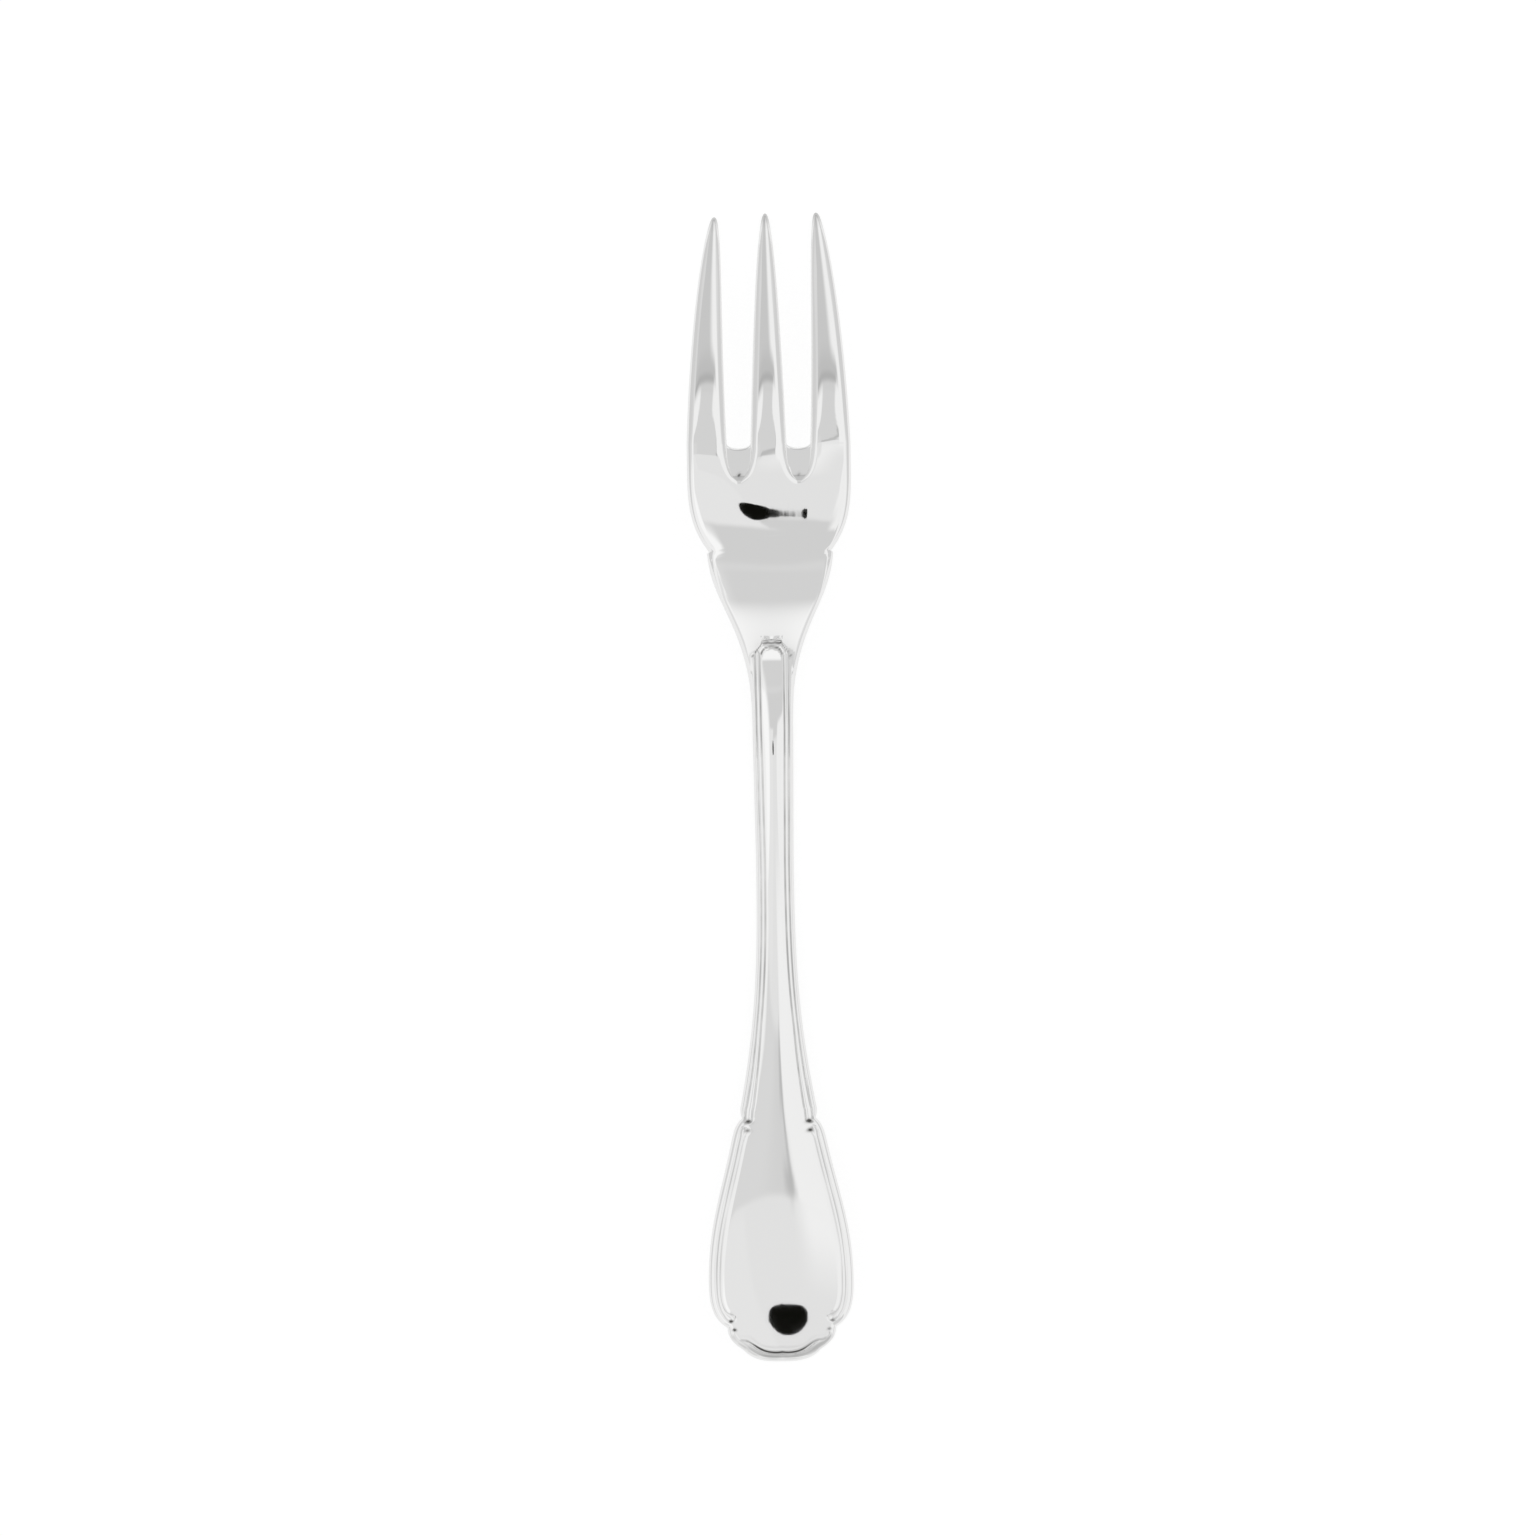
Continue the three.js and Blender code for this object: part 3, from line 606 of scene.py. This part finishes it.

# Wear of the metal, with painted shade: stains in the grooves and dots of painted shade by the beads,
# hairlines along the fork and a duller polish in patches
wearLook = {"hairDetail": 2, "patchScale": 110, "patchDetail": 3, "strengthFrom": (0.35, 0.68),
            "strengthTo": (0.25, 1.5), "dullFrom": (0.4, 0.75)}
wearInputs = {"Clean": "Color", "TarnishedAndShaded": "Color", "TarnishShadeMask": "Float", "Grain": "Float", "Stretch": "Vector",
              "Polished": "Float", "Dulled": "Float"}
wearOutputs = {"Colour": "Color", "Roughness": "Float", "Height": "Float"}
wearAndShade = bpy.data.node_groups.new("metalWearAndShade", "ShaderNodeTree")
for name, kind in wearInputs.items():
    wearAndShade.interface.new_socket(name, in_out="INPUT", socket_type="NodeSocket" + kind)
for name, kind in wearOutputs.items():
    wearAndShade.interface.new_socket(name, in_out="OUTPUT", socket_type="NodeSocket" + kind)
given = wearAndShade.nodes.new("NodeGroupInput")
made = wearAndShade.nodes.new("NodeGroupOutput")
place = wearAndShade.nodes.new("ShaderNodeTexCoord")
stretched = wearAndShade.nodes.new("ShaderNodeVectorMath")
stretched.operation = "MULTIPLY"
wearAndShade.links.new(place.outputs["Object"], stretched.inputs[0])
wearAndShade.links.new(given.outputs["Stretch"], stretched.inputs[1])
hairlines = wearAndShade.nodes.new("ShaderNodeTexNoise")
hairlines.inputs["Detail"].default_value = wearLook["hairDetail"]
wearAndShade.links.new(stretched.outputs[0], hairlines.inputs["Vector"])
wearAndShade.links.new(given.outputs["Grain"], hairlines.inputs["Scale"])
wearAndShade.links.new(hairlines.outputs["Fac"], made.inputs["Height"])
patches = wearAndShade.nodes.new("ShaderNodeTexNoise")
patches.inputs["Scale"].default_value = wearLook["patchScale"]
patches.inputs["Detail"].default_value = wearLook["patchDetail"]
wearAndShade.links.new(place.outputs["Object"], patches.inputs["Vector"])
patchyStrength = wearAndShade.nodes.new("ShaderNodeMapRange")
patchyStrength.inputs["From Min"].default_value, patchyStrength.inputs["From Max"].default_value = wearLook["strengthFrom"]
patchyStrength.inputs["To Min"].default_value, patchyStrength.inputs["To Max"].default_value = wearLook["strengthTo"]
wearAndShade.links.new(patches.outputs["Fac"], patchyStrength.inputs["Value"])
tarnishShadeAmount = wearAndShade.nodes.new("ShaderNodeMath")
tarnishShadeAmount.operation = "MULTIPLY"
tarnishShadeAmount.use_clamp = True
wearAndShade.links.new(given.outputs["TarnishShadeMask"], tarnishShadeAmount.inputs[0])
wearAndShade.links.new(patchyStrength.outputs[0], tarnishShadeAmount.inputs[1])
colour = wearAndShade.nodes.new("ShaderNodeMix")
colour.data_type = "RGBA"
wearAndShade.links.new(tarnishShadeAmount.outputs[0], colour.inputs["Factor"])
wearAndShade.links.new(given.outputs["Clean"], colour.inputs[6])  # 6 and 7 are A and B of a colour mix
wearAndShade.links.new(given.outputs["TarnishedAndShaded"], colour.inputs[7])
wearAndShade.links.new(colour.outputs[2], made.inputs["Colour"])
dull = wearAndShade.nodes.new("ShaderNodeMapRange")
dull.inputs["From Min"].default_value, dull.inputs["From Max"].default_value = wearLook["dullFrom"]
wearAndShade.links.new(patches.outputs["Fac"], dull.inputs["Value"])
wearAndShade.links.new(given.outputs["Polished"], dull.inputs["To Min"])
wearAndShade.links.new(given.outputs["Dulled"], dull.inputs["To Max"])
wearAndShade.links.new(dull.outputs[0], made.inputs["Roughness"])


def wornMetal(name, piece, look):
    material = bpy.data.materials.new(name)
    material.use_nodes = True
    nodes, links = material.node_tree.nodes, material.node_tree.links
    shader = nodes["Principled BSDF"]
    shader.inputs["Metallic"].default_value = 1
    wearAndShadeNode = nodes.new("ShaderNodeGroup")
    wearAndShadeNode.node_tree = wearAndShade
    for socket in ("Clean", "TarnishedAndShaded", "Grain", "Stretch", "Polished", "Dulled"):
        wearAndShadeNode.inputs[socket].default_value = look[socket]
    tarnishShadeMask = nodes.new("ShaderNodeAttribute")
    tarnishShadeMask.attribute_name = "tarnishShadeMask"
    links.new(tarnishShadeMask.outputs["Fac"], wearAndShadeNode.inputs["TarnishShadeMask"])
    bump = nodes.new("ShaderNodeBump")
    bump.inputs["Strength"].default_value = 1
    bump.inputs["Distance"].default_value = look["depth"] * mm
    links.new(wearAndShadeNode.outputs["Height"], bump.inputs["Height"])
    links.new(wearAndShadeNode.outputs["Colour"], shader.inputs["Base Color"])
    links.new(wearAndShadeNode.outputs["Roughness"], shader.inputs["Roughness"])
    links.new(bump.outputs["Normal"], shader.inputs["Normal"])
    piece.data.materials.clear()
    piece.data.materials.append(material)


# Clean metal, and one dark colour for both the stains in the grooves and the painted shade at the bead ends
silverLook = {"Clean": (0.936, 0.935, 0.931, 1), "TarnishedAndShaded": (0.1, 0.098, 0.094, 1), "Grain": 500.0,
              "Stretch": (1.0, 0.12, 1.0), "Polished": 0.015, "Dulled": 0.05, "depth": 0.0012}
steelLook = {"Clean": (0.62, 0.61, 0.59, 1), "TarnishedAndShaded": (0.2, 0.19, 0.18, 1), "Grain": 2500.0,
             "Stretch": (1.0, 0.04, 1.0), "Polished": 0.28, "Dulled": 0.42, "depth": 0.003}
wornMetal("polishedSilver", skin, silverLook)
wornMetal("groundSteel", blank, steelLook)
print("looks: polished silver over ground steel")

# Camera straight over the back, a little from the handle's side
cameraSize = {"distance": 1200.0, "tilt": 3.57, "roll": 0.87, "aim": (-0.89, 2.19, 8.0), "frame": 252.3,
              "sensor": 36, "clipEnd": 10}
tilt, roll = math.radians(cameraSize["tilt"]), math.radians(cameraSize["roll"])
aim = Vector(cameraSize["aim"]) * mm
away = Vector((0, -math.sin(tilt), math.cos(tilt)))
eye = aim + away * cameraSize["distance"] * mm
upHint = Vector((math.sin(roll), math.cos(roll), 0))
side = upHint.cross(away).normalized()
up = away.cross(side)
cameraData = bpy.data.cameras.new("overhead")
cameraData.sensor_width = cameraSize["sensor"]
cameraData.lens = cameraSize["sensor"] * cameraSize["distance"] / cameraSize["frame"]
cameraData.clip_end = cameraSize["clipEnd"]
camera = bpy.data.objects.new("overhead", cameraData)
scene.collection.objects.link(camera)
camera.matrix_world = Matrix(((side.x, up.x, away.x, eye.x), (side.y, up.y, away.y, eye.y),
                              (side.z, up.z, away.z, eye.z), (0, 0, 0, 1)))
scene.camera = camera

# Front of the camera, squarer on its upper side and narrower below, seen only in the silver
lensShape = {"radius": 46.0, "upperPowers": (0.6, 0.45), "lowerPowers": (0.8, 1.0), "lowerNarrow": 0.25,
             "colour": (0.004, 0.004, 0.003, 1)}
lensSize = lensShape["radius"] * mm
bpy.ops.object.select_all(action="DESELECT")
bpy.ops.mesh.primitive_circle_add(vertices=96, radius=lensSize, fill_type="NGON")
lens = bpy.context.object
lens.name = "lens"
for vertex in lens.data.vertices:
    across, along = vertex.co.x / lensSize, vertex.co.y / lensSize
    powerAcross, powerAlong = lensShape["upperPowers"] if along > 0 else lensShape["lowerPowers"]
    narrow = 1 + lensShape["lowerNarrow"] * min(along, 0)
    vertex.co.x = lensSize * math.copysign(abs(across)**powerAcross, across) * narrow
    vertex.co.y = lensSize * math.copysign(abs(along)**powerAlong, along)
lens.matrix_world = camera.matrix_world
lens.visible_camera = False
lens.visible_diffuse = False
lens.visible_shadow = False
black = bpy.data.materials.new("lensBlack")
black.use_nodes = True
shader = black.node_tree.nodes["Principled BSDF"]
shader.inputs["Base Color"].default_value = lensShape["colour"]
shader.inputs["Roughness"].default_value = 1
shader.inputs["Specular IOR Level"].default_value = 0
lens.data.materials.append(black)

# Floor of white paper, a little duller where the silver mirrors it
floorLook = {"size": 6, "colour": (0.3, 0.3, 0.3, 1), "glow": 0.78, "mirroredGlow": 0.64}
bpy.ops.object.select_all(action="DESELECT")
bpy.ops.mesh.primitive_plane_add(size=floorLook["size"], location=(0, 0, 0))
floor = bpy.context.object
floor.name = "floor"
paper = bpy.data.materials.new("whitePaper")
paper.use_nodes = True
nodes, links = paper.node_tree.nodes, paper.node_tree.links
nodes.clear()
out = nodes.new("ShaderNodeOutputMaterial")
diffuse = nodes.new("ShaderNodeBsdfDiffuse")
diffuse.inputs["Color"].default_value = floorLook["colour"]
glow = nodes.new("ShaderNodeEmission")
path = nodes.new("ShaderNodeLightPath")
dimmer = nodes.new("ShaderNodeMapRange")
dimmer.inputs["To Min"].default_value = floorLook["glow"]
dimmer.inputs["To Max"].default_value = floorLook["mirroredGlow"]
links.new(path.outputs["Is Glossy Ray"], dimmer.inputs["Value"])
links.new(dimmer.outputs[0], glow.inputs["Strength"])
add = nodes.new("ShaderNodeAddShader")
links.new(diffuse.outputs[0], add.inputs[0])
links.new(glow.outputs[0], add.inputs[1])
links.new(add.outputs[0], out.inputs["Surface"])
floor.data.materials.append(paper)
print("stage: camera, floor and the front of the camera")

# Light tent: white sides, and a duller strip overhead where the camera looks in. Low down it darkens twice,
# between two distances from the top and to a level.
tentLight = {"side": 0.91, "bow": 1.2, "horizon": (0.5, 0.8, 0.72), "table": (0.8, 0.98, 0.66)}
# A panel's place is across, along and their half sizes, as slopes of a mirror that shows it from above.
# Its edges' softness across and along, its lean and its level follow. A later panel hides an earlier one.
tentPanels = {
    "strip": (-0.061, 0.185, 0.059, 0.19, 0.008, 0.02, 0.18, 0.68),
    "tongue": (-0.08, 0.09, 0.04, 0.06, 0.02, 0.03, 0.18, 0.72),
    "nearStrip": (0.27, -0.15, 0.36, 0.11, 0.03, 0.03, 0.0, 0.66),
    "nearStripLow": (0.27, -0.35, 0.36, 0.105, 0.03, 0.045, 0.0, 0.675),
    "farStrip": (0.02, 0.6, 0.14, 0.235, 0.03, 0.03, -0.25, 0.6),
    "farLeft": (-0.43, 0.62, 0.22, 0.2, 0.05, 0.05, 0.0, 0.72),
    "seamShade": (-0.03, 0.42, 0.16, 0.03, 0.03, 0.03, 0.0, 0.54),
    "seam": (-0.06, 0.395, 0.14, 0.012, 0.012, 0.012, 0.0, 0.46),
    "nearLeft": (-0.45, -0.32, 0.3, 0.08, 0.04, 0.04, 0.0, 0.8),
    "overheadNear": (0.0, -0.016, 0.11, 0.038, 0.003, 0.012, 0.0, 0.8),
    "overheadFar": (0.0, 0.0475, 0.11, 0.0475, 0.003, 0.003, 0.0, 0.8),
    "overheadLeft": (-0.185, -0.08, 0.07, 0.17, 0.02, 0.02, 0.0, 0.99),
    "overheadRight": (0.2, 0.0, 0.08, 0.1, 0.02, 0.02, 0.0, 0.9),
    "fold": (-0.0671, 0.0, 0.0485, 0.09, 0.003, 0.01, -0.35, 0.825),
    "rightGlow": (0.065, 0.085, 0.045, 0.03, 0.012, 0.03, 0.0, 0.92),
    "corner": (0.012, 0.103, 0.007, 0.007, 0.005, 0.005, 0.0, 0.54),
    "thinLine": (-0.005, 0.15, 0.0025, 0.05, 0.002, 0.02, 0.18, 0.5),
    "near": (0.0, -0.75, 0.5, 0.294, 0.03, 0.045, 0.0, 0.97),
    "nearCornerLeft": (-0.36, -0.5, 0.14, 0.13, 0.05, 0.05, 0.0, 0.76),
    "nearCornerRight": (0.36, -0.5, 0.14, 0.13, 0.05, 0.05, 0.0, 0.76),
}
world = bpy.data.worlds.new("tent")
scene.world = world
world.use_nodes = True
nodes, links = world.node_tree.nodes, world.node_tree.links


def feed(socket, value):  # a socket takes another node's output or a plain number
    if hasattr(value, "links"):
        links.new(value, socket)
    else:
        socket.default_value = value


def mathNode(operation, *values):
    node = nodes.new("ShaderNodeMath")
    node.operation = operation
    for socket, value in zip(node.inputs, values):
        feed(socket, value)
    return node.outputs[0]


def softRange(value, low, high):  # 0 at low, 1 at high
    between = nodes.new("ShaderNodeMapRange")
    between.interpolation_type = "SMOOTHSTEP"
    between.inputs["From Min"].default_value = low
    between.inputs["From Max"].default_value = high
    links.new(value, between.inputs["Value"])
    return between.outputs[0]


def softBand(value, centre, half, soft):
    away = mathNode("ABSOLUTE", mathNode("SUBTRACT", value, centre))
    return softRange(away, half + soft, max(half - soft, 0))


def layer(under, over, mask):  # one level over another
    mix = nodes.new("ShaderNodeMix")
    links.new(mask, mix.inputs[0])
    feed(mix.inputs[2], under)
    feed(mix.inputs[3], over)
    return mix.outputs[0]


direction = nodes.new("ShaderNodeTexCoord")
split = nodes.new("ShaderNodeSeparateXYZ")
links.new(direction.outputs["Generated"], split.inputs[0])
rise = mathNode("MAXIMUM", mathNode("ADD", split.outputs["Z"], 1.0), 0.05)  # not zero straight down
acrossTent = mathNode("DIVIDE", split.outputs["X"], rise)
bow = mathNode("MULTIPLY", mathNode("MULTIPLY", acrossTent, acrossTent), tentLight["bow"])
alongTent = mathNode("ADD", mathNode("DIVIDE", split.outputs["Y"], rise), bow)
brightness = tentLight["side"]
for across, along, halfAcross, halfAlong, softAcross, softAlong, lean, level in tentPanels.values():
    leaning = mathNode("SUBTRACT", acrossTent, mathNode("MULTIPLY", alongTent, lean))
    mask = mathNode("MULTIPLY", softBand(leaning, across, halfAcross, softAcross),
                    softBand(alongTent, along, halfAlong, softAlong))
    brightness = layer(brightness, level, mask)
fromTop = mathNode("ADD", mathNode("MULTIPLY", acrossTent, acrossTent),
                   mathNode("MULTIPLY", alongTent, alongTent))
for low, high, level in (tentLight["horizon"], tentLight["table"]):
    brightness = layer(brightness, level, softRange(fromTop, low, high))
path = nodes.new("ShaderNodeLightPath")
brightness = layer(brightness, 1.0, path.outputs["Is Camera Ray"])
links.new(brightness, nodes["Background"].inputs["Color"])
print("tent:", len(tentPanels), "panels")
